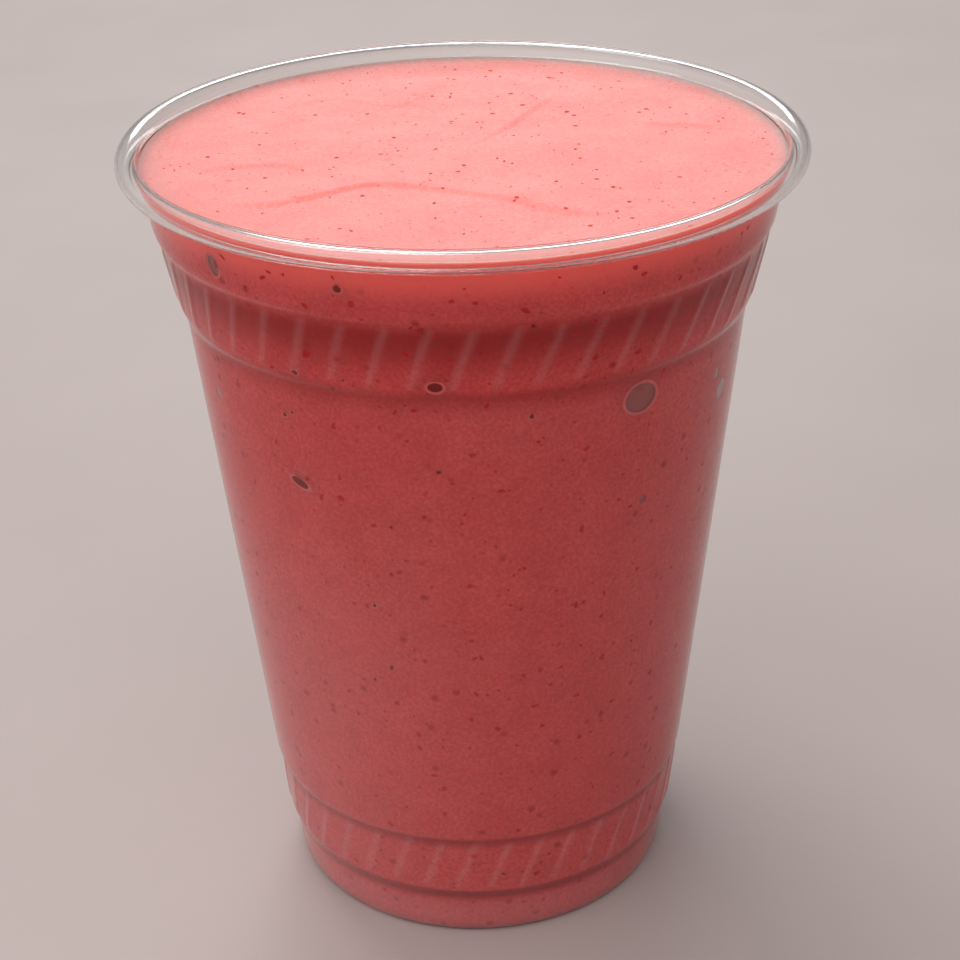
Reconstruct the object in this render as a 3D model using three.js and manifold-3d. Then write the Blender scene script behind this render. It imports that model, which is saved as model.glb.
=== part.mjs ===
// A strawberry smoothie in a clear thin-walled plastic cup with a rolled rim.
// Millimetres, +Z up. The origin is the middle of the flat foot, and -Y is the pictured side.
import * as THREE from "three";
import { mergeVertices } from "three/addons/utils/BufferGeometryUtils.js";
import Module from "manifold-3d";

// Driving dimensions of the cup
const CUP_HEIGHT = 120;
const RIM_RADIUS = 49;
const WALL = 0.5;
const FLOOR = 0.8;
const FLOOR_CORNER = 0.8;
const COLUMNS = 64;

// The rim is the wall's edge rolled outward into an open curl
const CURL_HALF_WIDTH = 1.6;
const CURL_HALF_HEIGHT = 1.69;
const CURL_END_DEG = -120;
const CURL_STEPS = 10;

// Heights and outer radii of the collar, the two rib bands, the plain wall and the heel
const COLLAR_TOP = { z: 116.62, r: 45.9 };
const SHOULDER = { z: 109.24, r: 44.58 };
const UPPER_BAND = { top: 108.44, topRadius: 44.0, bottom: 98.04, bottomRadius: 41.86 };
const PLAIN_WALL = { top: 96.8, topRadius: 41.05, bottom: 20.4, bottomRadius: 32.9 };
const LOWER_BAND = { top: 19.6, topRadius: 32.5, bottom: 9.2, bottomRadius: 31.4 };
const HEEL = { top: 8.1, topRadius: 30.7, roundTop: 2.8, roundTopRadius: 29.9, footRadius: 27.1 };
const HEEL_STEPS = 4;

// Slanted ribs that stand out of the two bands
const RIB_WIDTH = 1.1;
const RIB_RAISE = 0.2;
const RIB_SUNK = 0.25;
const RIB_END_GAP = 0.9;
const UPPER_RIBS = { count: 48, slantDegPerMm: 0.46, phaseDeg: -0.84 };
const LOWER_RIBS = { count: 40, slantDegPerMm: 0.58, phaseDeg: -4.0 };

// The drink, with low folds on its top that fade out at the wall
const DRINK_LEVEL = 117;
const DRINK_GAP = 0.2;
const DRINK_RINGS = 9;
const FOLDS = [
  { height: 0.45, length: 24, turnDeg: 82, phaseDeg: 40 },
  { height: 0.25, length: 17, turnDeg: 118, phaseDeg: 200 },
  { height: 0.2, length: 31, turnDeg: 20, phaseDeg: 0 },
];
const FOLD_FADE_POWER = 4;

const wasm = await Module();
wasm.setup();

const point = (r, z) => new THREE.Vector2(r, z);

// Points of an ellipse's arc, from one angle to another, both ends included
function arc(centre, halfWidth, halfHeight, fromDeg, toDeg, steps) {
  return Array.from({ length: steps + 1 }, (_, i) => {
    const angle = THREE.MathUtils.degToRad(THREE.MathUtils.lerp(fromDeg, toDeg, i / steps));
    return point(centre.x + halfWidth * Math.cos(angle), centre.y + halfHeight * Math.sin(angle));
  });
}

// The wall's outer face from the heel's round up to the collar's top
function outerWall() {
  return [
    ...arc(
      point(HEEL.footRadius, HEEL.roundTop),
      HEEL.roundTopRadius - HEEL.footRadius,
      HEEL.roundTop,
      -90,
      0,
      HEEL_STEPS,
    ),
    point(HEEL.topRadius, HEEL.top),
    point(LOWER_BAND.bottomRadius, LOWER_BAND.bottom),
    point(LOWER_BAND.topRadius, LOWER_BAND.top),
    point(PLAIN_WALL.bottomRadius, PLAIN_WALL.bottom),
    point(PLAIN_WALL.topRadius, PLAIN_WALL.top),
    point(UPPER_BAND.bottomRadius, UPPER_BAND.bottom),
    point(UPPER_BAND.topRadius, UPPER_BAND.top),
    point(SHOULDER.r, SHOULDER.z),
    point(COLLAR_TOP.r, COLLAR_TOP.z),
  ];
}

// The wall's face a given way in from the outer one, with a cut corner at the floor
function innerWall(inset, floorZ) {
  const inside = outerWall()
    .filter((p) => p.y > floorZ)
    .map((p) => point(p.x - inset, p.y));
  return [point(inside[0].x - FLOOR_CORNER, floorZ), ...inside];
}

// A profile turned about the +Z axis
function turned(profile) {
  const geometry = new THREE.LatheGeometry(profile, COLUMNS);
  geometry.rotateX(Math.PI / 2);
  return geometry;
}

// Leaves only the positions, with shared corners merged
function bare(geometry) {
  geometry.deleteAttribute("normal");
  geometry.deleteAttribute("uv");
  return mergeVertices(geometry, 1e-4);
}

function solid(geometry) {
  const merged = bare(geometry);
  return new wasm.Manifold(
    new wasm.Mesh({
      numProp: 3,
      vertProperties: new Float32Array(merged.attributes.position.array),
      triVerts: new Uint32Array(merged.index.array),
    }),
  );
}

function geometryOf(manifold) {
  const mesh = manifold.getMesh();
  const geometry = new THREE.BufferGeometry();
  geometry.setAttribute("position", new THREE.BufferAttribute(mesh.vertProperties, 3));
  geometry.setIndex(new THREE.BufferAttribute(mesh.triVerts, 1));
  geometry.computeVertexNormals();
  return geometry;
}

function cupShell() {
  const curlCentre = point(RIM_RADIUS - CURL_HALF_WIDTH, CUP_HEIGHT - CURL_HALF_HEIGHT);
  const hollow = arc(
    curlCentre,
    CURL_HALF_WIDTH - WALL,
    CURL_HALF_HEIGHT - WALL,
    180,
    CURL_END_DEG,
    CURL_STEPS,
  );
  const outside = arc(curlCentre, CURL_HALF_WIDTH, CURL_HALF_HEIGHT, CURL_END_DEG, 180, CURL_STEPS);
  return turned([
    point(0, 0),
    ...outerWall(),
    ...hollow,
    ...outside,
    ...innerWall(WALL, FLOOR).reverse(),
    point(0, FLOOR),
  ]);
}

// A point on a band's outer face, with azimuth 0 at -Y and growing towards +X
function onBand(band, z, azimuthDeg) {
  const share = (z - band.bottom) / (band.top - band.bottom);
  const r = THREE.MathUtils.lerp(band.bottomRadius, band.topRadius, share);
  const azimuth = THREE.MathUtils.degToRad(azimuthDeg);
  return new THREE.Vector3(r * Math.sin(azimuth), -r * Math.cos(azimuth), z);
}

// One straight rib, laid along the band's face and sunk a little into the wall
function rib(band, ribs, index) {
  const middleDeg = ribs.phaseDeg + (360 / ribs.count) * index;
  const halfHeight = (band.top - band.bottom) / 2 - RIB_END_GAP;
  const middleZ = (band.top + band.bottom) / 2;
  const slantDeg = ribs.slantDegPerMm * halfHeight;
  const lower = onBand(band, middleZ - halfHeight, middleDeg - slantDeg);
  const upper = onBand(band, middleZ + halfHeight, middleDeg + slantDeg);
  const along = upper.clone().sub(lower);
  const length = along.length();
  along.normalize();
  const middle = onBand(band, middleZ, middleDeg);
  const across = new THREE.Vector3().crossVectors(along, middle.clone().setZ(0)).normalize();
  const outward = new THREE.Vector3().crossVectors(across, along);
  middle.addScaledVector(outward, (RIB_RAISE - RIB_SUNK) / 2);
  const bar = new THREE.BoxGeometry(RIB_WIDTH, length, RIB_RAISE + RIB_SUNK);
  return bar.applyMatrix4(new THREE.Matrix4().makeBasis(across, along, outward).setPosition(middle));
}

function cupGeometry() {
  let cup = solid(cupShell());
  for (const [band, ribs] of [[UPPER_BAND, UPPER_RIBS], [LOWER_BAND, LOWER_RIBS]]) {
    for (let index = 0; index < ribs.count; index += 1) {
      cup = cup.add(solid(rib(band, ribs, index)));
    }
  }
  return geometryOf(cup);
}

// How far the drink's top stands above or below its level
function foldHeight(x, y) {
  return FOLDS.reduce((sum, fold) => {
    const turn = THREE.MathUtils.degToRad(fold.turnDeg);
    const along = x * Math.cos(turn) + y * Math.sin(turn);
    const phase = THREE.MathUtils.degToRad(fold.phaseDeg);
    return sum + fold.height * Math.sin((2 * Math.PI * along) / fold.length + phase);
  }, 0);
}

function smoothieGeometry() {
  const side = innerWall(WALL + DRINK_GAP, FLOOR + DRINK_GAP);
  const edge = point(side[side.length - 1].x, DRINK_LEVEL);
  const rings = Array.from({ length: DRINK_RINGS }, (_, i) =>
    point(edge.x * (1 - (i + 1) / DRINK_RINGS), DRINK_LEVEL),
  );
  const geometry = bare(turned([point(0, FLOOR + DRINK_GAP), ...side, edge, ...rings]));
  const position = geometry.attributes.position;
  for (let i = 0; i < position.count; i += 1) {
    if (position.getZ(i) > DRINK_LEVEL - DRINK_GAP) {
      const x = position.getX(i);
      const y = position.getY(i);
      const fade = 1 - Math.min(1, Math.hypot(x, y) / edge.x) ** FOLD_FADE_POWER;
      position.setZ(i, DRINK_LEVEL + fade * foldHeight(x, y));
    }
  }
  geometry.computeVertexNormals();
  return geometry;
}

function piece(name, geometry, look) {
  const mesh = new THREE.Mesh(geometry, new THREE.MeshStandardMaterial(look));
  mesh.name = name;
  return mesh;
}

const drink = new THREE.Group();
drink.add(
  piece("cup", cupGeometry(), {
    color: 0xece8e6,
    roughness: 0.06,
    metalness: 0,
    transparent: true,
    opacity: 0.25,
  }),
  piece("smoothie", smoothieGeometry(), { color: 0xf2a39d, roughness: 0.35, metalness: 0 }),
);

export default drink;
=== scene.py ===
# The looks of a strawberry smoothie in a clear plastic cup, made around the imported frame.
# Sizes are in millimetres and turned into metres by MM. An azimuth is in degrees from -Y towards +X.
import math
import random

import bpy
import numpy as np
from mathutils import Matrix, Vector


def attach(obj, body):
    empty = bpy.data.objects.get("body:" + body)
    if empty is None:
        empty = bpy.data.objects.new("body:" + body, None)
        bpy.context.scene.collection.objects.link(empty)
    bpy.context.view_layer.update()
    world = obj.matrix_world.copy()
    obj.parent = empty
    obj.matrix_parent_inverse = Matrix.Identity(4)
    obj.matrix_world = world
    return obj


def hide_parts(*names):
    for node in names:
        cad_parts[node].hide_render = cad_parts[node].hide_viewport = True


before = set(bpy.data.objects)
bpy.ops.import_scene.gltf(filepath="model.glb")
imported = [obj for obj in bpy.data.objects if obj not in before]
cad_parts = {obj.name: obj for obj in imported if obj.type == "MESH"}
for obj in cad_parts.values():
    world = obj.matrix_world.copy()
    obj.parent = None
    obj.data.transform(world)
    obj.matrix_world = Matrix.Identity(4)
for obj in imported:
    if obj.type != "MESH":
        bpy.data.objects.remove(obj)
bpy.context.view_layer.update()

MM = 0.001
MERGE_DISTANCE = 0.004

# The cup's size, its wall and the curl of its rim
CUP_HEIGHT = 120.0
RIM_RADIUS = 49.0
WALL = 0.5
FLOOR = 0.8
INNER_WALL_START = FLOOR + 0.2
CURL_HALF_WIDTH = 1.6
CURL_HALF_HEIGHT = 1.69
CURL_END_DEG = -120
CURL_STEPS = 30
COLLAR_TOP = (45.9, 116.62)
CUP_COLUMNS = 480
CUP_SMOOTH_DEG = 50

# The wall's bends from the foot to the collar's top: outer radius, height and how far the corner is rounded
BENDS = [
    (27.1, 0.0, 0.0),
    (29.75, 0.0, 2.6),
    (30.7, 8.1, 0.9),
    (31.4, 9.2, 0.9),
    (32.5, 19.6, 0.9),
    (32.9, 20.4, 0.9),
    (41.05, 96.8, 1.4),
    (41.86, 98.04, 1.4),
    (44.0, 108.44, 0.6),
    (44.58, 109.24, 0.9),
    (*COLLAR_TOP, 0.0),
]
BEND_STEPS = 5
# A rounded corner takes up at most this share of the run beside it
BEND_REACH = 0.45

# Slanted ribs of the two bands: foot, top, count, slant in degrees per millimetre and the first one's azimuth
UPPER_BAND = {"low": 98.4, "high": 108.5, "ribs": 48, "slant": 0.46, "first": -0.84}
LOWER_BAND = {"low": 9.6, "high": 19.6, "ribs": 40, "slant": 0.58, "first": -4.0}
RIB_ROWS = 12
RIB_HALF_WIDTH = 1.05
RIB_RAISE = 0.18
RIB_END_FADE = 1.2

# Clear plastic, smoothest on the curl above the wall
PLASTIC_TINT = (0.985, 0.98, 0.975, 1.0)
PLASTIC_IOR = 1.34
PLASTIC_ROUGHNESS = 0.03
WALL_ROUGHNESS = 0.1
SMEAR_ROUGHNESS = 0.05
WALL_END = (COLLAR_TOP[1] - 2, COLLAR_TOP[1] + 1)

# Milky haze in the plastic, with the same milky layer as a painted reflection low on the left and a painted
# highlight on the heel: its strength in each place, and the stretch over which it sets in or ends
HAZE_COLOUR = (0.82, 0.76, 0.75, 1.0)
HAZE_ROUGHNESS = 0.6
CHILL_HAZE = 0.022
CHILL_END = (93.0, 99.0)
COLLAR_CHILL = 0.5
COLLAR_START = (108.0, 110.0)
LOW_HAZE = 0.015
LOW_END = (45.0, 90.0)
# Painted reflection of the bright light on the left, on the lower wall's left side
LEFT_PAINTED_REFLECTION = 0.045
LEFT_END = (-26.0, 4.0)
# Painted highlight where the heel's convex ring catches the light
HEEL_PAINTED_HIGHLIGHT = 0.05
HEEL_END = (5.0, 8.0)
RIB_HAZE = 0.05

# The drink. It reaches a little into the wall, so that no air shows between them
DRINK_IN_WALL = 0.25
DRINK_EDGE_IN_WALL = 0.05
DRINK_LEVEL = 117.0
DRINK_COLUMNS = 360
DRINK_RINGS = 110
DRINK_SMOOTH_DEG = 40
SIDE_STEP = 2.0
MENISCUS_RISE = 0.8
MENISCUS_WIDTH = 1.1
# Faces at most this far below the level, and no steeper than this, belong to the open top
TOP_DROP = 0.9
TOP_SLOPE = 0.5

# Low waves on the drink's top. They and the folds die away over the last stretch before the wall
WAVES = [
    {"height": 0.22, "length": 24.0, "turn": 82, "phase": 40},
    {"height": 0.14, "length": 17.0, "turn": 118, "phase": 200},
    {"height": 0.10, "length": 31.0, "turn": 20, "phase": 0},
]
STILL_EDGE = 8

# Folds where the poured drink lay over itself: points along each, its lip and how strongly its crease is
# painted in shade
FOLDS = [
    {"line": [(-36, -20), (-27, -22), (-20, -19.5), (-12, -15), (-4, -16.5), (6, -22.5), (14, -27.5),
              (22, -29)],
     "lip": 0.42, "crease": 0.45},
    {"line": [(-38, -7.5), (-33, -5.2), (-27, -4.8), (-22, -6)], "lip": 0.3, "crease": 0.35},
    {"line": [(-9, -7), (-2, 1), (5, 7.5), (10, 17), (17, 29)], "lip": 0.28, "crease": 0.08},
    {"line": [(25, 11), (30, 9.5), (36, 8), (43, 4.5)], "lip": 0.3, "crease": 0.25},
    {"line": [(-30, 21), (-20, 26), (-10, 22), (-4, 30), (-2, 42)], "lip": 0.22, "crease": 0.06},
]
FOLD_LIP_WIDTH = 6.0
FOLD_STEP_WIDTH = 1.6
FOLD_CREASE_WIDTH = 0.6
FOLD_END_FADE = 0.2
FOLD_POINTS = 60

# Scale, detail and roughness of each noise
SMEAR_NOISE = (0.12, 3.0, 0.5)
CLOUD_NOISE = (0.16, 4.0, 0.6)
GRAIN_NOISE = (2.0, 3.0, 0.65)
FLECK_NOISE = (0.9, 3.0, 0.5)
FLOOR_NOISE = (0.02, 4.0, 0.5)

# Ramps: where each one starts and ends, and its two colours
BLACK = (0, 0, 0)
WHITE = (1, 1, 1)
CLOUD_STOPS = [(0.35, BLACK), (0.68, WHITE)]
MOTTLE_STOPS = [(0.42, WHITE), (0.62, BLACK)]
SPOT_STOPS = [(0.25, WHITE), (1.0, BLACK)]

# Fruit puree: two clouded pinks, the red of its pulp, its gloss and the share of coarse pulp
SIDE_PUREE = {
    "pale": (0.83, 0.107, 0.111), "deep": (0.77, 0.087, 0.092), "red": (0.42, 0.005, 0.005),
    "roughness": 0.3, "shine": 0.05, "pulp_share": 0.45, "shaded": True,
}
TOP_PUREE = {
    "pale": (0.925, 0.36, 0.347), "deep": (0.895, 0.315, 0.302), "red": (0.86, 0.14, 0.1),
    "roughness": 0.42, "shine": 0.22, "pulp_share": 0.08,
}
POCKET_PUREE = {
    "pale": (0.5, 0.06, 0.055), "deep": (0.42, 0.05, 0.045), "red": (0.3, 0.02, 0.02),
    "roughness": 0.5, "shine": 0.0, "pulp_share": 0.3,
}
# Pulp spots: size of their loose grid, size of a spot and how red it is
COARSE_PULP = (3.6, 0.8, 0.8)
MIDDLE_PULP = (1.5, 0.36, 0.7)
FINE_PULP = (0.8, 0.2, 0.5)
MIDDLE_PULP_SHARE = 0.2
FINE_PULP_SHARE = 0.25
MOTTLE = 0.3
# How strongly the top's creases are painted in shade
CREASE_SHADE = 0.5
GRAIN_ROUGHNESS = 0.2
GRAIN_STRENGTH = 0.12
GRAIN_DEPTH = 0.3
PUREE_GLOW_DEPTH = 6.0
PUREE_GLOW_SPREAD = (1.0, 0.3, 0.26)

# Painted shade: soft dark bands on the drink's side under the wall's steps: foot, top and how dark
STEP_SHADES = [(99.0, 109.0, 0.8), (93.5, 98.6, 0.4), (17.4, 20.4, 0.75), (6.0, 9.6, 1.0)]
STEP_SHADE_PEAK = 0.25
STEP_SHADE_RED = (0.4, 0.004, 0.004)
# Painted light: the stretch over which the side brightens towards its upper edge, where light from the top
# glows through
LIT_EDGE = (110.6, 116.0)
LIT_EDGE_PINK = (0.99, 0.19, 0.165)

# Air pockets against the wall: azimuth, height, width, tallness, depth and turn
POCKETS = [
    (34.0, 93.2, 5.6, 4.8, 0.9, 0),
    (-47.0, 112.5, 2.4, 3.4, 0.7, 0),
    (59.0, 90.6, 1.7, 2.0, 0.5, 0),
    (63.0, 87.0, 3.4, 3.4, 0.6, 0),
    (-61.0, 89.0, 1.8, 1.9, 0.5, 0),
    (37.5, 76.3, 1.2, 1.3, 0.5, 0),
]
# The first pockets have a thin pale rim of painted reflection, shifted a little in azimuth and height
RIMMED_POCKETS = 2
POCKET_RIM = 0.09
POCKET_RIM_SHIFT = (0.3, -0.1)

# Holes of burst bubbles, each a flat cap in painted shade with a pale rim of painted reflection: azimuth,
# height, width, tallness and turn
HOLES = [
    (-6.0, 99.3, 2.3, 1.8, 0),
    (-36.7, 80.8, 3.4, 1.5, 20),
    (-21.0, 113.3, 1.3, 1.2, 0),
    (-33.0, 99.0, 1.1, 1.0, 0),
    (11.5, 93.8, 0.8, 0.8, 0),
    (-38.0, 91.2, 0.8, 0.7, 0),
    (-36.0, 91.9, 0.6, 0.5, 0),
    (-22.0, 62.7, 0.7, 0.8, 0),
]
HOLE_CAP_DEPTH = 0.12
HOLE_RIM = 0.24
HOLE_RIM_DROP = 0.14
RIM_DEPTH = 0.08
HOLE_SMOOTH_DEG = 60
# Colours of the holes' painted shade and of the rims' painted reflection
HOLE_SHADE = {"light": (0.3, 0.006, 0.008), "dark": (0.2, 0.004, 0.006), "roughness": 0.5}
HOLE_RIM_REFLECTION = {"light": (0.8, 0.19, 0.18), "dark": (0.75, 0.1, 0.095), "roughness": 0.5}

# Larger flecks and seeds against the wall: azimuth, height and length
NOTED_FLECKS = [
    (-29.5, 102.3, 1.6), (-31.7, 79.3, 1.0), (-35.0, 113.0, 1.0), (-33.5, 114.0, 0.7), (9.5, 110.5, 1.3),
    (28.0, 114.2, 1.0), (38.0, 110.8, 0.9), (-2.5, 112.3, 0.9), (-3.0, 103.3, 0.8), (39.5, 96.2, 1.0),
    (38.0, 64.5, 0.9), (29.0, 58.5, 0.8), (-0.3, 54.7, 0.9), (-27.0, 48.8, 0.8), (4.8, 41.6, 1.0),
]
NOTED_SEEDS = [
    (-6.2, 85.8, 0.7), (-16.5, 76.4, 0.6), (-19.5, 52.0, 0.7), (-24.0, 49.3, 0.7), (6.0, 12.7, 0.7),
    (11.0, 107.8, 0.7),
]
NOTED_WIDTHS = (0.5, 0.8)
NOTED_THICKNESS = 0.18

# Scattered flecks and seeds: how many, their lengths, and their widths as a share of the length
FLECK_SEED = 7
SIDE_FLECKS = 1900
SIDE_FLECK_LENGTHS = (0.2, 1.1)
SIDE_FLECK_HEIGHTS = (4, DRINK_LEVEL - 1)
SIDE_FLECK_THICKNESS = 0.16
TOP_FLECKS = 420
TOP_FLECK_LENGTHS = (0.15, 0.8)
TOP_FLECK_REACH = 44.5
TOP_FLECK_THICKNESS = 0.14
SEEDS = 60
SEED_LENGTHS = (0.25, 0.7)
FLECK_WIDTHS = (0.45, 0.9)
# A higher power makes more of the flecks short
SHORT_FLECK_POWER = 3
FLECK_BUMPS = 0.25
FLECK_SMOOTH_DEG = 80
FLECK_SHINE = 0.05
MOTTLE_ROUGHNESS = 0.2
FRUIT_SKIN = {"light": (0.78, 0.006, 0.006), "dark": (0.46, 0.002, 0.002), "roughness": 0.4}
BRIGHT_SKIN = {"light": (0.85, 0.11, 0.05), "dark": (0.72, 0.045, 0.03), "roughness": 0.4}
SEED_COAT = {"light": (0.3, 0.008, 0.008), "dark": (0.15, 0.004, 0.004), "roughness": 0.4}

# The floor and the light, in metres and watts
FLOOR_SIZE = 6.0
FLOOR_COLOURS = ((0.465, 0.40, 0.385), (0.51, 0.44, 0.425))
FLOOR_ROUGHNESS = 0.45
SKY_COLOUR = (1.0, 0.985, 0.97, 1.0)
SKY_STRENGTH = 0.25
# Brighter sides of the sky: the way to each, its strength, and the cosine to that way at which it begins
GLOWS = [((-0.8, -0.3, 0.4), 0.6), ((-0.2, -0.9, 0.2), 0.55)]
GLOW_START = -0.3
LAMPS = {
    "overhead": {"place": (-0.2, 0.4, 0.95), "aim": (0, 0, 0.1), "size": (0.45, 0.3), "power": 3.85,
                 "colour": (1.0, 0.99, 0.97)},
    "window": {"place": (0.03, 1.1, 0.62), "aim": (0, 0, 0.12), "size": (0.4, 0.2), "power": 1.2,
               "colour": (0.97, 0.985, 1.0)},
}

# Camera at the photograph's angle: focal length in pixels of a 960 px frame, place, and turns in degrees
FRAME_PIXELS = 960
FOCAL_PIXELS = 2020.6
CAMERA_BACK = 277.2
CAMERA_UP = 207.6
CAMERA_PITCH = 27.38
CAMERA_YAW = 0.27
CAMERA_ROLL = -1.375
CAMERA_NEAR = 10.0
SENSOR = 36.0


# Shader nodes

class Nodes:
    """The shader nodes of a material or a world. Every node comes from its add method."""

    def __init__(self, owner):
        owner.use_nodes = True
        self.tree = owner.node_tree
        self.tree.nodes.clear()

    def add(self, kind, settings=None, sockets=None, output=0):
        """Adds a node, sets its settings, then gives its sockets their values or links."""
        node = self.tree.nodes.new(kind)
        for name, value in (settings or {}).items():
            if name == "stops":
                self.set_stops(node.color_ramp, value)
            else:
                setattr(node, name, value)
        for name, value in (sockets or {}).items():
            if isinstance(value, Wire):
                self.tree.links.new(value.socket, node.inputs[name])
            else:
                node.inputs[name].default_value = value
        return Wire(self, node.outputs[output]) if node.outputs else None

    @staticmethod
    def set_stops(ramp, stops):
        while len(ramp.elements) < len(stops):
            ramp.elements.new(1.0)
        for element, (place, colour) in zip(ramp.elements, stops):
            element.position = place
            element.color = with_alpha(colour)


class Wire:
    """A node's output that joins in Python sums: each operator adds one Math node."""

    def __init__(self, nodes, socket):
        self.nodes = nodes
        self.socket = socket

    def other_output(self, name):
        return Wire(self.nodes, self.socket.node.outputs[name])

    def math(self, operation, first, second):
        return self.nodes.add("ShaderNodeMath", {"operation": operation}, {0: first, 1: second})

    def __add__(self, other):
        return self.math("ADD", self, other)

    def __sub__(self, other):
        return self.math("SUBTRACT", self, other)

    def __rsub__(self, other):
        return self.math("SUBTRACT", other, self)

    def __mul__(self, other):
        return self.math("MULTIPLY", self, other)

    __radd__ = __add__
    __rmul__ = __mul__


def with_alpha(colour):
    """A colour's three numbers as a full one. A wire stays as it is."""
    return colour if isinstance(colour, Wire) else (*colour, 1.0)


def new_finish(name, shader_sockets):
    """A material with one Principled shader. shader_sockets(nodes) gives the shader's values and links."""
    finish = bpy.data.materials.new(name)
    nodes = Nodes(finish)
    shader = nodes.add("ShaderNodeBsdfPrincipled", sockets=shader_sockets(nodes))
    nodes.add("ShaderNodeOutputMaterial", sockets={"Surface": shader})
    return finish


def object_place(nodes):
    """Object coordinates in millimetres."""
    place = nodes.add("ShaderNodeTexCoord", output=3)
    return nodes.add("ShaderNodeVectorMath", {"operation": "SCALE"}, {0: place, "Scale": 1 / MM})


def axis_of(nodes, place, axis):
    """One number of a place: axis 0 is x, 1 is y and 2 is z."""
    return nodes.add("ShaderNodeSeparateXYZ", sockets={"Vector": place}, output=axis)


def attribute(nodes, name):
    return nodes.add("ShaderNodeAttribute", {"attribute_name": name}, output=2)


def noise(nodes, place, scale, detail, roughness):
    return nodes.add("ShaderNodeTexNoise", sockets={
        "Vector": place, "Scale": scale, "Detail": detail, "Roughness": roughness})


def ramp(nodes, wire, stops):
    return nodes.add("ShaderNodeValToRGB", {"stops": stops}, {"Fac": wire})


def mix_colour(nodes, share, first, second):
    sockets = {0: share, 6: with_alpha(first), 7: with_alpha(second)}
    return nodes.add("ShaderNodeMix", {"data_type": "RGBA"}, sockets, output=2)


def between(nodes, wire, low, high, full=1.0):
    """0 below low, full above high, and a smooth step from one to the other between them."""
    return nodes.add("ShaderNodeMapRange", {"interpolation_type": "SMOOTHSTEP"}, {
        "Value": wire, "From Min": low, "From Max": high, "To Max": full})


# Finishes

def clear_plastic():
    """Clear glossy plastic with a thin chill haze on the wall, a milky look on the ribs, a milky painted
    reflection low on the left side and a milky painted highlight on the heel.
    """
    finish = bpy.data.materials.new("clear_plastic")
    nodes = Nodes(finish)
    place = object_place(nodes)
    x, z = axis_of(nodes, place, 0), axis_of(nodes, place, 2)
    smear = noise(nodes, place, *SMEAR_NOISE)
    below_curl = 1 - between(nodes, z, *WALL_END)
    clear = nodes.add("ShaderNodeBsdfPrincipled", sockets={
        "Base Color": PLASTIC_TINT,
        "Roughness": smear * SMEAR_ROUGHNESS + below_curl * WALL_ROUGHNESS + PLASTIC_ROUGHNESS,
        "IOR": PLASTIC_IOR,
        "Transmission Weight": 1.0,
    })
    milky = nodes.add("ShaderNodeBsdfPrincipled", sockets={
        "Base Color": HAZE_COLOUR,
        "Roughness": HAZE_ROUGHNESS,
        "Specular IOR Level": 0.0,
    })
    chill = 1 - between(nodes, z, *CHILL_END) + between(nodes, z, *COLLAR_START) * COLLAR_CHILL
    low = 1 - between(nodes, z, *LOW_END)
    # The milky layer as a painted reflection on the left side and a painted highlight on the heel
    left = 1 - between(nodes, x, *LEFT_END)
    heel = 1 - between(nodes, z, *HEEL_END)
    haze = chill * (smear + 0.5) * CHILL_HAZE + low * (left * LEFT_PAINTED_REFLECTION + LOW_HAZE)
    haze = haze + heel * HEEL_PAINTED_HIGHLIGHT + attribute(nodes, "rib") * RIB_HAZE
    blend = nodes.add("ShaderNodeMixShader", sockets={0: haze, 1: clear, 2: milky})
    nodes.add("ShaderNodeOutputMaterial", sockets={"Surface": blend})
    return finish


def speckle(nodes, place, share, cell, size, depth):
    """Soft round spots: depth in the middle of a share of the cells of a loose grid, and 0 elsewhere."""
    distance = nodes.add("ShaderNodeTexVoronoi", sockets={"Vector": place, "Scale": 1 / cell})
    colour = distance.other_output("Color")
    draw = nodes.add("ShaderNodeSeparateColor", sockets={"Color": colour})
    chosen = nodes.add("ShaderNodeMath", {"operation": "LESS_THAN"}, {0: draw, 1: share})
    return chosen * ramp(nodes, distance * (cell / size), SPOT_STOPS) * depth


def smoothie_finish(name, pale, deep, red, roughness, shine, pulp_share, shaded=False):
    """Fruit puree: two clouded pinks with soft red pulp spots of three sizes, red mottling and painted shade
    in the top's creases, and when shaded, painted shade and painted light on the side.
    """
    def sockets(nodes):
        place = object_place(nodes)
        cloud = ramp(nodes, noise(nodes, place, *CLOUD_NOISE), CLOUD_STOPS)
        grain = noise(nodes, place, *GRAIN_NOISE)
        pulp = (speckle(nodes, place, pulp_share, *COARSE_PULP)
                + speckle(nodes, place, MIDDLE_PULP_SHARE, *MIDDLE_PULP)
                + speckle(nodes, place, FINE_PULP_SHARE, *FINE_PULP))
        # Red mottling of the puree, and painted shade in the top's creases
        mottle_and_crease_shade = ramp(nodes, grain, MOTTLE_STOPS) * MOTTLE + attribute(nodes, "crease") * CREASE_SHADE
        colour = mix_colour(nodes, cloud, pale, deep)
        colour = mix_colour(nodes, pulp, colour, red)
        colour = mix_colour(nodes, mottle_and_crease_shade, colour, red)
        # Painted shade under the wall's steps and painted light at the upper edge
        if shaded:
            colour = step_shade(nodes, place, colour)
        bump = nodes.add("ShaderNodeBump", sockets={
            "Strength": GRAIN_STRENGTH, "Distance": GRAIN_DEPTH * MM, "Height": grain})
        return {
            "Base Color": colour,
            "Roughness": grain * GRAIN_ROUGHNESS + roughness,
            "Specular IOR Level": shine,
            "Subsurface Weight": 1.0,
            "Subsurface Radius": PUREE_GLOW_SPREAD,
            "Subsurface Scale": PUREE_GLOW_DEPTH * MM,
            "Normal": bump,
        }
    return new_finish(name, sockets)


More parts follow.
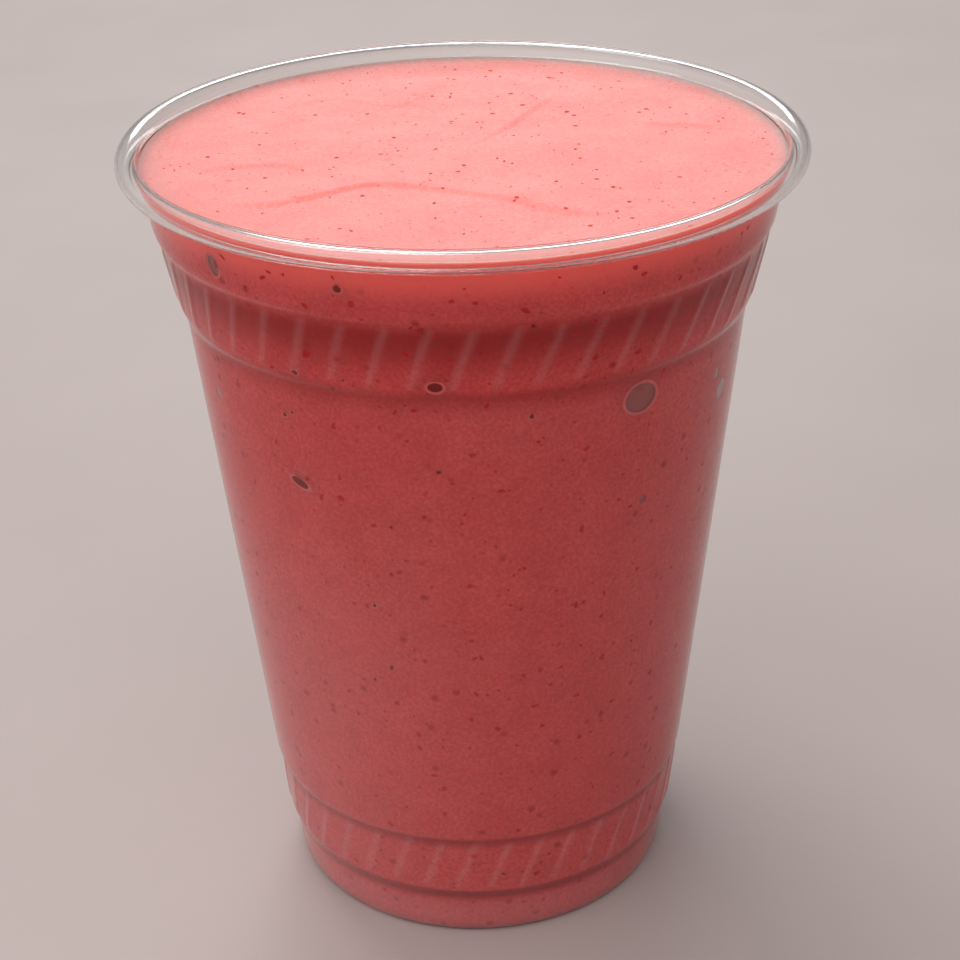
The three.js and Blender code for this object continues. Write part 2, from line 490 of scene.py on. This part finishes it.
def step_shade(nodes, place, colour):
    """Paints shade on the drink where the wall's steps bend the light away from it, and paints light on its
    upper edge where the top's light glows through.
    """
    z = axis_of(nodes, place, 2)
    shade = 0.0
    for foot, top, share in STEP_SHADES:
        middle = top - (top - foot) * STEP_SHADE_PEAK
        shade = shade + between(nodes, z, foot, middle) * (1 - between(nodes, z, middle, top)) * share
    colour = mix_colour(nodes, shade, colour, STEP_SHADE_RED)
    return mix_colour(nodes, between(nodes, z, *LIT_EDGE), colour, LIT_EDGE_PINK)


def fleck_finish(name, light, dark, roughness):
    def sockets(nodes):
        mottle = noise(nodes, object_place(nodes), *FLECK_NOISE)
        return {
            "Base Color": mix_colour(nodes, mottle, light, dark),
            "Roughness": mottle * MOTTLE_ROUGHNESS + roughness,
            "Specular IOR Level": FLECK_SHINE,
        }
    return new_finish(name, sockets)


def floor_finish():
    def sockets(nodes):
        cloud = noise(nodes, object_place(nodes), *FLOOR_NOISE)
        return {
            "Base Color": mix_colour(nodes, cloud, *FLOOR_COLOURS),
            "Roughness": cloud * MOTTLE_ROUGHNESS + FLOOR_ROUGHNESS,
        }
    return new_finish("pale_floor", sockets)


# Making meshes

def start_clean():
    if bpy.context.object and bpy.context.object.mode != "OBJECT":
        bpy.ops.object.mode_set(mode="OBJECT")
    bpy.ops.object.select_all(action="DESELECT")


def select_only(*pieces):
    """Selects these pieces alone, with the first one active."""
    start_clean()
    for piece in pieces:
        piece.select_set(True)
    bpy.context.view_layer.objects.active = pieces[0]


def at(point):
    """The place of a profile's point, given as its radius and height in millimetres."""
    return Vector((point[0] * MM, 0.0, point[1] * MM))


def drawn_line(name, points):
    """A line of edges in the XZ plane, drawn out point by point from one corner."""
    start_clean()
    bpy.ops.mesh.primitive_plane_add(size=MM)
    piece = bpy.context.object
    piece.name = piece.data.name = name
    bpy.ops.object.mode_set(mode="EDIT")
    bpy.ops.mesh.select_all(action="SELECT")
    bpy.ops.mesh.merge(type="CENTER")
    bpy.ops.mesh.select_all(action="SELECT")
    bpy.ops.transform.translate(value=at(points[0]))
    for before, after in zip(points, points[1:]):
        step = {"value": at(after) - at(before)}
        bpy.ops.mesh.extrude_region_move(TRANSFORM_OT_translate=step)
    return piece


def turned(name, profile, columns):
    """A profile turned about +Z into a closed body with its faces outwards."""
    piece = drawn_line(name, profile)
    bpy.ops.object.mode_set(mode="OBJECT")
    lathe = piece.modifiers.new("lathe", "SCREW")
    lathe.axis = "Z"
    lathe.steps = lathe.render_steps = columns
    lathe.use_merge_vertices = True
    bpy.ops.object.modifier_apply(modifier=lathe.name)
    bpy.ops.object.mode_set(mode="EDIT")
    bpy.ops.mesh.select_all(action="SELECT")
    bpy.ops.mesh.remove_doubles(threshold=MERGE_DISTANCE * MM)
    bpy.ops.mesh.normals_make_consistent(inside=False)
    bpy.ops.object.mode_set(mode="OBJECT")
    return piece


def joined(pieces, name):
    select_only(*pieces)
    bpy.ops.object.join()
    pieces[0].name = pieces[0].data.name = name
    return pieces[0]


def corners(piece):
    """The piece's vertices, in millimetres, one row each."""
    found = np.empty(len(piece.data.vertices) * 3)
    piece.data.vertices.foreach_get("co", found)
    return found.reshape(-1, 3) / MM


def set_corners(piece, places):
    piece.data.vertices.foreach_set("co", (places * MM).ravel())
    piece.data.update()


def mark_corners(piece, name, values):
    """Keeps one number for each vertex in a named attribute, for the finishes to read."""
    mark = piece.data.attributes.new(name, "FLOAT", "POINT")
    mark.data.foreach_set("value", values)


def smooth_by_angle(piece, degrees):
    select_only(piece)
    bpy.ops.object.shade_smooth_by_angle(angle=math.radians(degrees))


def finish_piece(piece, node_slot, *finishes):
    for finish in finishes:
        piece.data.materials.append(finish)
    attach(piece, "root")


# Lines and curves

def eased(share):
    """A smooth step for a share from 0 to 1."""
    return share * share * (3 - 2 * share)


def arc(centre, half_width, half_height, start, end, steps):
    """Points of an ellipse's arc between two angles in degrees, both ends included."""
    angles = np.radians(np.linspace(start, end, steps + 1))
    return [(centre[0] + half_width * math.cos(a), centre[1] + half_height * math.sin(a)) for a in angles]


def rounded(bends):
    """Points along straight runs between bends, with each corner rounded by a quadratic curve."""
    points = []
    for i, (r, z, round_size) in enumerate(bends):
        corner = np.array((r, z))
        if round_size == 0:
            points.append(tuple(corner))
            continue
        ends = []
        for other in (bends[i - 1], bends[i + 1]):
            way = np.array(other[:2]) - corner
            reach = min(round_size, np.linalg.norm(way) * BEND_REACH)
            ends.append(corner + way / np.linalg.norm(way) * reach)
        for t in np.linspace(0, 1, BEND_STEPS):
            points.append(tuple((1 - t) ** 2 * ends[0] + 2 * t * (1 - t) * corner + t ** 2 * ends[1]))
    return points


def wall_face(inset=0.0):
    """The wall's outer face from the foot to the collar's top, or the same face set in."""
    return [(r - inset, z) for r, z in rounded(BENDS)]


def with_rows(points, step):
    """The same line with points added, so that no two are further apart in height than step."""
    filled = [points[0]]
    for before, after in zip(points, points[1:]):
        parts = max(1, math.ceil(abs(after[1] - before[1]) / step))
        for k in range(1, parts + 1):
            share = k / parts
            filled.append(tuple(np.array(before) * (1 - share) + np.array(after) * share))
    return filled


def swapped(points):
    """The heights and the radii of a profile, as np.interp wants them."""
    radii, heights = zip(*points)
    return heights, radii


def curve_through(points):
    """Points of a smooth curve through given ones, by cubic pieces that pass through each."""
    points = np.array(points, dtype=float)
    padded = np.vstack([2 * points[0] - points[1], points, 2 * points[-1] - points[-2]])
    curve = []
    for i in range(len(points) - 1):
        a, b, c, d = padded[i:i + 4]
        for t in np.linspace(0, 1, FOLD_POINTS // (len(points) - 1), endpoint=False):
            curve.append(0.5 * (2 * b + (c - a) * t + (2 * a - 5 * b + 4 * c - d) * t ** 2
                                + (3 * b - a - 3 * c + d) * t ** 3))
    curve.append(points[-1])
    return np.array(curve)


# The cup

def cup_profile():
    """The cup's section: up the outer face, round the curl and back, down the inner face to the floor."""
    outer = with_rib_rows(wall_face())
    centre = (RIM_RADIUS - CURL_HALF_WIDTH, CUP_HEIGHT - CURL_HALF_HEIGHT)
    hollow = arc(centre, CURL_HALF_WIDTH - WALL, CURL_HALF_HEIGHT - WALL, 180, CURL_END_DEG, CURL_STEPS)
    outside = arc(centre, CURL_HALF_WIDTH, CURL_HALF_HEIGHT, CURL_END_DEG, 180, CURL_STEPS)
    inner = [(r, z) for r, z in wall_face(WALL) if z > INNER_WALL_START]
    floor_edge = (inner[0][0] - FLOOR, FLOOR)
    return [(0, 0), *outer, *hollow, *outside, *reversed(inner), floor_edge, (0, FLOOR)]


def with_rib_rows(points):
    """Adds the rows that the ribs of both bands need."""
    above_foot = 0.01
    heights = {z for r, z in points}
    for band in (UPPER_BAND, LOWER_BAND):
        heights.update(np.linspace(band["low"], band["high"], RIB_ROWS + 1))
    foot = [point for point in points if point[1] <= above_foot]
    rows = sorted(z for z in heights if z > above_foot)
    return foot + [(float(np.interp(z, *swapped(points))), z) for z in rows]


def twist_at(z):
    """How far the mesh's columns are turned at a height, in degrees, so that they run along the ribs."""
    heights, turns = [], []
    for band in (LOWER_BAND, UPPER_BAND):
        middle = (band["low"] + band["high"]) / 2
        for edge in ("low", "high"):
            heights.append(band[edge])
            turns.append(band["first"] + band["slant"] * (band[edge] - middle))
    return np.interp(z, heights, turns)


def twist_columns(places):
    """Turns the rings so that the mesh's columns run along the ribs. The wall's shape stays the same."""
    turn = np.radians(twist_at(places[:, 2]))
    x, y = places[:, 0].copy(), places[:, 1].copy()
    places[:, 0] = x * np.cos(turn) - y * np.sin(turn)
    places[:, 1] = x * np.sin(turn) + y * np.cos(turn)


def rib_share(places, band):
    """How far each point stands up on a band's ribs: 1 on a rib's ridge and 0 off the ribs."""
    x, y, z = places.T
    radius = np.hypot(x, y)
    pitch = 360 / band["ribs"]
    off_ridge = (np.degrees(np.arctan2(x, -y)) - twist_at(z) + pitch / 2) % pitch - pitch / 2
    across = np.clip(np.abs(np.radians(off_ridge)) * radius / RIB_HALF_WIDTH, 0, 1)
    along = np.clip(np.minimum(z - band["low"], band["high"] - z) / RIB_END_FADE, 0, 1)
    outer = radius > np.interp(z, *swapped(wall_face())) - WALL / 2
    return np.cos(across * math.pi / 2) ** 2 * eased(along) * outer


def raise_ribs(piece):
    """Moves the ribs' points outwards, and keeps how far in the attribute rib."""
    places = corners(piece)
    twist_columns(places)
    share = sum(rib_share(places, band) for band in (UPPER_BAND, LOWER_BAND))
    outward = places[:, :2] / np.maximum(np.hypot(places[:, 0], places[:, 1]), 1e-6)[:, None]
    places[:, :2] += outward * (share * RIB_RAISE)[:, None]
    set_corners(piece, places)
    mark_corners(piece, "rib", share)


def make_cup():
    cup = turned("clear_cup", cup_profile(), CUP_COLUMNS)
    raise_ribs(cup)
    smooth_by_angle(cup, CUP_SMOOTH_DEG)
    finish_piece(cup, "clear_plastic", clear_plastic())
    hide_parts("cup")


# The drink

# Heights and radii of the drink's side
DRINK_SIDE = swapped(wall_face(DRINK_IN_WALL))


def drink_radius(z):
    """The radius of the drink's side at a height."""
    return float(np.interp(z, *DRINK_SIDE))


def inner_radius(z):
    """The radius of the wall's inner face between the collar's top and the curl."""
    curl_foot = (RIM_RADIUS - 2 * CURL_HALF_WIDTH, CUP_HEIGHT - CURL_HALF_HEIGHT)
    share = (z - COLLAR_TOP[1]) / (curl_foot[1] - COLLAR_TOP[1])
    start = COLLAR_TOP[0] - WALL
    return start + (curl_foot[0] - start) * share


def drink_profile():
    """The drink's section: along the floor, up the side to the edge, and in over the level top."""
    side = [(r, z) for r, z in wall_face(DRINK_IN_WALL) if FLOOR < z < COLLAR_TOP[1]]
    edge = (inner_radius(DRINK_LEVEL + MENISCUS_RISE) + DRINK_EDGE_IN_WALL, DRINK_LEVEL)
    base = (side[0][0] - FLOOR, FLOOR - DRINK_IN_WALL)
    rings = [(edge[0] * (1 - k / DRINK_RINGS), DRINK_LEVEL) for k in range(1, DRINK_RINGS + 1)]
    return [(0, base[1]), *with_rows([base, *side, edge], SIDE_STEP), *rings]


def fold_relief(x, y, fold):
    """One fold's height, a step up to a lip that sinks slowly behind it, and the painted shade of its crease.
    """
    curve = curve_through(fold["line"])
    best = np.full(x.shape, np.inf)
    side = np.zeros(x.shape)
    share = np.zeros(x.shape)
    for i, (a, b) in enumerate(zip(curve, curve[1:])):
        way = b - a
        length = np.dot(way, way)
        t = np.clip(((x - a[0]) * way[0] + (y - a[1]) * way[1]) / length, 0, 1)
        dx, dy = x - a[0] - t * way[0], y - a[1] - t * way[1]
        distance = np.hypot(dx, dy)
        nearer = distance < best
        best = np.where(nearer, distance, best)
        side = np.where(nearer, np.sign(way[0] * dy - way[1] * dx), side)
        share = np.where(nearer, (i + t) / (len(curve) - 1), share)
    fade = eased(np.clip(np.minimum(share, 1 - share) / FOLD_END_FADE, 0, 1))
    across = best * side
    step = np.clip(across / FOLD_STEP_WIDTH + 0.5, 0, 1)
    lip = fold["lip"] * eased(step) * np.exp(-np.maximum(across, 0) / FOLD_LIP_WIDTH)
    crease = fold["crease"] * np.exp(-(across / FOLD_CREASE_WIDTH) ** 2)
    return fade * lip, fade * crease


def top_relief(x, y, edge_radius):
    """How far the drink's top stands over its level, and the painted shade of its creases."""
    height = np.zeros(x.shape)
    for wave in WAVES:
        turn, phase = math.radians(wave["turn"]), math.radians(wave["phase"])
        along = x * math.cos(turn) + y * math.sin(turn)
        height += wave["height"] * np.sin(2 * math.pi * along / wave["length"] + phase)
    creases = np.zeros(x.shape)
    for fold in FOLDS:
        lip, crease = fold_relief(x, y, fold)
        height += lip
        creases += crease
    to_edge = edge_radius - np.hypot(x, y)
    still = np.clip(to_edge / STILL_EDGE, 0, 1)
    meniscus = MENISCUS_RISE * np.exp(-to_edge / MENISCUS_WIDTH)
    return height * still + meniscus, creases * still


def shape_top(piece):
    """Raises the level top into waves, folds and the rise at the wall, and keeps the creases' painted shade.
    """
    places = corners(piece)
    top = places[:, 2] > DRINK_LEVEL - 0.01
    x, y = places[top, 0], places[top, 1]
    height, creases = top_relief(x, y, np.hypot(x, y).max())
    places[top, 2] = DRINK_LEVEL + height
    set_corners(piece, places)
    # depth is the painted shade of the creases at each vertex
    depth = np.zeros(len(places))
    depth[top] = creases
    mark_corners(piece, "crease", depth)


def paint_top(piece, slot):
    """Gives the faces of the drink's open top their own finish."""
    for face in piece.data.polygons:
        if face.center.z > (DRINK_LEVEL - TOP_DROP) * MM and face.normal.z > TOP_SLOPE:
            face.material_index = slot


def cut_pockets(piece, finish):
    """Cuts the air pockets into the drink's side, each with a flattened ball."""
    balls = []
    for azimuth_deg, z, width, tall, depth, turn in POCKETS:
        ball = add_ball(azimuth_deg, z, width, tall, depth, turn)
        ball.data.materials.append(finish)
        balls.append(ball)
    cutter = joined(balls, "pocket_cutter")
    select_only(piece)
    cut = piece.modifiers.new("pockets", "BOOLEAN")
    cut.operation = "DIFFERENCE"
    cut.solver = "EXACT"
    cut.material_mode = "TRANSFER"
    cut.object = cutter
    bpy.ops.object.modifier_apply(modifier=cut.name)
    bpy.data.objects.remove(cutter)


def make_drink():
    drink = turned("strawberry_smoothie", drink_profile(), DRINK_COLUMNS)
    shape_top(drink)
    drink.data.materials.append(smoothie_finish("smoothie_side", **SIDE_PUREE))
    drink.data.materials.append(smoothie_finish("smoothie_top", **TOP_PUREE))
    paint_top(drink, 1)
    cut_pockets(drink, smoothie_finish("smoothie_pocket", **POCKET_PUREE))
    smooth_by_angle(drink, DRINK_SMOOTH_DEG)
    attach(drink, "root")
    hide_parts("smoothie")


# Things along the drink's side

def wall_place(azimuth_deg, z):
    """A point on the drink's side, and the turn that lays a flat thing along the wall there."""
    angle = math.radians(azimuth_deg)
    r = drink_radius(z)
    lean = math.atan(drink_radius(z + 0.5) - drink_radius(z - 0.5))
    place = Vector((r * math.sin(angle), -r * math.cos(angle), z))
    return place, Matrix.Rotation(angle, 3, "Z") @ Matrix.Rotation(lean, 3, "X")


def lay_on_side(piece, azimuth_deg, z, turn, shape):
    """Gives a new primitive its shape, tips it by turn and lays it along the drink's side."""
    place, facing = wall_place(azimuth_deg, z)
    tilt = facing @ Matrix.Rotation(math.radians(turn), 3, "Y")
    piece.data.transform(Matrix.Translation(place * MM) @ (tilt @ shape).to_4x4())
    return piece


def add_ball(azimuth_deg, z, width, tall, depth, turn):
    """A flattened ball in the drink's side."""
    start_clean()
    bpy.ops.mesh.primitive_uv_sphere_add(segments=32, ring_count=16, radius=MM)
    size = Matrix.Diagonal((width / 2, depth, tall / 2))
    return lay_on_side(bpy.context.object, azimuth_deg, z, turn, size)


def add_rim(azimuth_deg, z, width, tall, turn, thick):
    """A ring along the drink's side, as wide and tall as a hole. thick is a share of the hole's half size."""
    start_clean()
    bpy.ops.mesh.primitive_torus_add(
        major_segments=40, minor_segments=10, major_radius=MM, minor_radius=thick * MM)
    upright = Matrix.Rotation(math.radians(90), 3, "X")
    size = Matrix.Diagonal((width / 2, RIM_DEPTH / thick, tall / 2))
    return lay_on_side(bpy.context.object, azimuth_deg, z, turn, size @ upright)


def make_holes():
    """Caps in painted shade for the holes, and pale rims of painted reflection that show most below each of
    them.
    """
    caps, rims = [], []
    for azimuth_deg, z, width, tall, turn in HOLES:
        caps.append(add_ball(azimuth_deg, z, width, tall, HOLE_CAP_DEPTH, turn))
        rims.append(add_rim(azimuth_deg, z - HOLE_RIM_DROP * tall, width, tall, turn, HOLE_RIM))
    sideways, upwards = POCKET_RIM_SHIFT
    for azimuth_deg, z, width, tall, _, turn in POCKETS[:RIMMED_POCKETS]:
        rims.append(add_rim(azimuth_deg + sideways, z + upwards, width, tall, turn, POCKET_RIM))
    holes = joined(caps, "burst_holes")
    reflection_rims = joined(rims, "hole_rims")
    for piece in (holes, reflection_rims):
        smooth_by_angle(piece, HOLE_SMOOTH_DEG)
    finish_piece(holes, "strawberry_smoothie", fleck_finish("hole_shade", **HOLE_SHADE))
    finish_piece(reflection_rims, "strawberry_smoothie", fleck_finish("hole_rim_reflection", **HOLE_RIM_REFLECTION))


# Flecks of fruit skin and seeds

def fleck_shape():
    """The corners and faces of a ball with few faces, a unit across."""
    start_clean()
    bpy.ops.mesh.primitive_uv_sphere_add(segments=8, ring_count=4, radius=0.5)
    ball = bpy.context.object
    places = np.array([v.co for v in ball.data.vertices])
    faces = [list(p.vertices) for p in ball.data.polygons]
    bpy.data.objects.remove(ball)
    return places, faces


def scattered(name, spots, seed):
    """One mesh of an uneven fleck at each spot: place, outward turn, length, width and thickness."""
    shape, faces = fleck_shape()
    draw = np.random.default_rng(seed)
    all_places, all_faces = [], []
    for place, facing, length, width, thick in spots:
        bumps = 1 + FLECK_BUMPS * draw.standard_normal(len(shape))[:, None]
        spin = Matrix.Rotation(draw.uniform(0, math.pi), 3, "Y")
        size = np.array((length, thick, width))
        laid = (shape * bumps * size) @ np.array(spin).T @ np.array(facing).T
        first = len(all_places) * len(shape)
        all_places.append(laid + np.array(place))
        all_faces.extend([[first + k for k in face] for face in faces])
    mesh = bpy.data.meshes.new(name)
    mesh.from_pydata(np.vstack(all_places) * MM, [], all_faces)
    piece = bpy.data.objects.new(name, mesh)
    bpy.context.collection.objects.link(piece)
    smooth_by_angle(piece, FLECK_SMOOTH_DEG)
    return piece


def fleck_size(draw, low, high):
    """A fleck's length and width. Most flecks are short."""
    length = low + (high - low) * draw.random() ** SHORT_FLECK_POWER
    return length, length * draw.uniform(*FLECK_WIDTHS)


def side_spots(draw, count, lengths):
    spots = []
    for _ in range(count):
        z = draw.uniform(*SIDE_FLECK_HEIGHTS)
        place, facing = wall_place(draw.uniform(-180, 180), z)
        spots.append((place, facing, *fleck_size(draw, *lengths), SIDE_FLECK_THICKNESS))
    return spots


def noted_spots(draw, noted):
    spots = []
    for azimuth_deg, z, length in noted:
        place, facing = wall_place(azimuth_deg, z)
        spots.append((place, facing, length, length * draw.uniform(*NOTED_WIDTHS), NOTED_THICKNESS))
    return spots


def top_spots(draw, count, lengths):
    lying = Matrix.Rotation(math.radians(90), 3, "X")
    radii = np.array([TOP_FLECK_REACH * math.sqrt(draw.random()) for _ in range(count)])
    angles = np.array([draw.uniform(0, 2 * math.pi) for _ in range(count)])
    x, y = radii * np.cos(angles), radii * np.sin(angles)
    relief, _ = top_relief(x, y, drink_radius(DRINK_LEVEL))
    places = zip(x, y, DRINK_LEVEL + relief)
    return [(place, lying, *fleck_size(draw, *lengths), TOP_FLECK_THICKNESS) for place in places]


def make_flecks():
    draw = random.Random(FLECK_SEED)
    side = side_spots(draw, SIDE_FLECKS, SIDE_FLECK_LENGTHS) + noted_spots(draw, NOTED_FLECKS)
    top = top_spots(draw, TOP_FLECKS, TOP_FLECK_LENGTHS)
    seeds = side_spots(draw, SEEDS, SEED_LENGTHS) + noted_spots(draw, NOTED_SEEDS)
    kinds = [
        ("side_flecks", side, fleck_finish("fruit_skin", **FRUIT_SKIN)),
        ("top_flecks", top, fleck_finish("bright_skin", **BRIGHT_SKIN)),
        ("dark_seeds", seeds, fleck_finish("seeds", **SEED_COAT)),
    ]
    for seed, (name, spots, finish) in enumerate(kinds, start=1):
        finish_piece(scattered(name, spots, seed), "strawberry_smoothie", finish)


# Stage, light and camera

def make_floor():
    start_clean()
    bpy.ops.mesh.primitive_plane_add(size=FLOOR_SIZE, location=(0, 0, 0))
    floor = bpy.context.object
    floor.name = "floor"
    floor.data.materials.append(floor_finish())


def add_light(name, place, aim, size, power, colour):
    lamp = bpy.data.lights.new(name, "AREA")
    lamp.shape = "RECTANGLE"
    lamp.size, lamp.size_y = size
    lamp.energy = power
    lamp.color = colour
    ob = bpy.data.objects.new(name, lamp)
    ob.location = place
    ob.rotation_euler = (Vector(aim) - Vector(place)).to_track_quat("-Z", "Y").to_euler()
    bpy.context.collection.objects.link(ob)


def glow(nodes, way, towards, strength):
    """Soft light from one side of the sky, growing to its full strength straight towards it."""
    near = nodes.add("ShaderNodeVectorMath", {"operation": "DOT_PRODUCT"},
                     {0: way, 1: Vector(towards).normalized()}, output=1)
    return between(nodes, near, GLOW_START, 1.0, strength)


def make_light():
    world = bpy.data.worlds.new("studio")
    nodes = Nodes(world)
    way = nodes.add("ShaderNodeTexCoord")
    strength = SKY_STRENGTH
    for towards, full in GLOWS:
        strength = strength + glow(nodes, way, towards, full)
    sky = nodes.add("ShaderNodeBackground", sockets={"Color": SKY_COLOUR, "Strength": strength})
    nodes.add("ShaderNodeOutputWorld", sockets={"Surface": sky})
    bpy.context.scene.world = world
    for name, lamp in LAMPS.items():
        add_light(name, **lamp)


def make_camera():
    lens = bpy.data.cameras.new("camera")
    lens.sensor_width = SENSOR
    lens.lens = FOCAL_PIXELS / FRAME_PIXELS * SENSOR
    lens.clip_start = CAMERA_NEAR * MM
    ob = bpy.data.objects.new("camera", lens)
    turn = (Matrix.Rotation(math.radians(-CAMERA_YAW), 4, "Z")
            @ Matrix.Rotation(math.radians(90 - CAMERA_PITCH), 4, "X")
            @ Matrix.Rotation(math.radians(CAMERA_ROLL), 4, "Z"))
    ob.matrix_world = Matrix.Translation((0, -CAMERA_BACK * MM, CAMERA_UP * MM)) @ turn
    bpy.context.collection.objects.link(ob)
    bpy.context.scene.camera = ob


make_camera()
make_light()
make_floor()
make_cup()
make_drink()
make_holes()
make_flecks()
bpy.context.scene.view_settings.view_transform = "Standard"
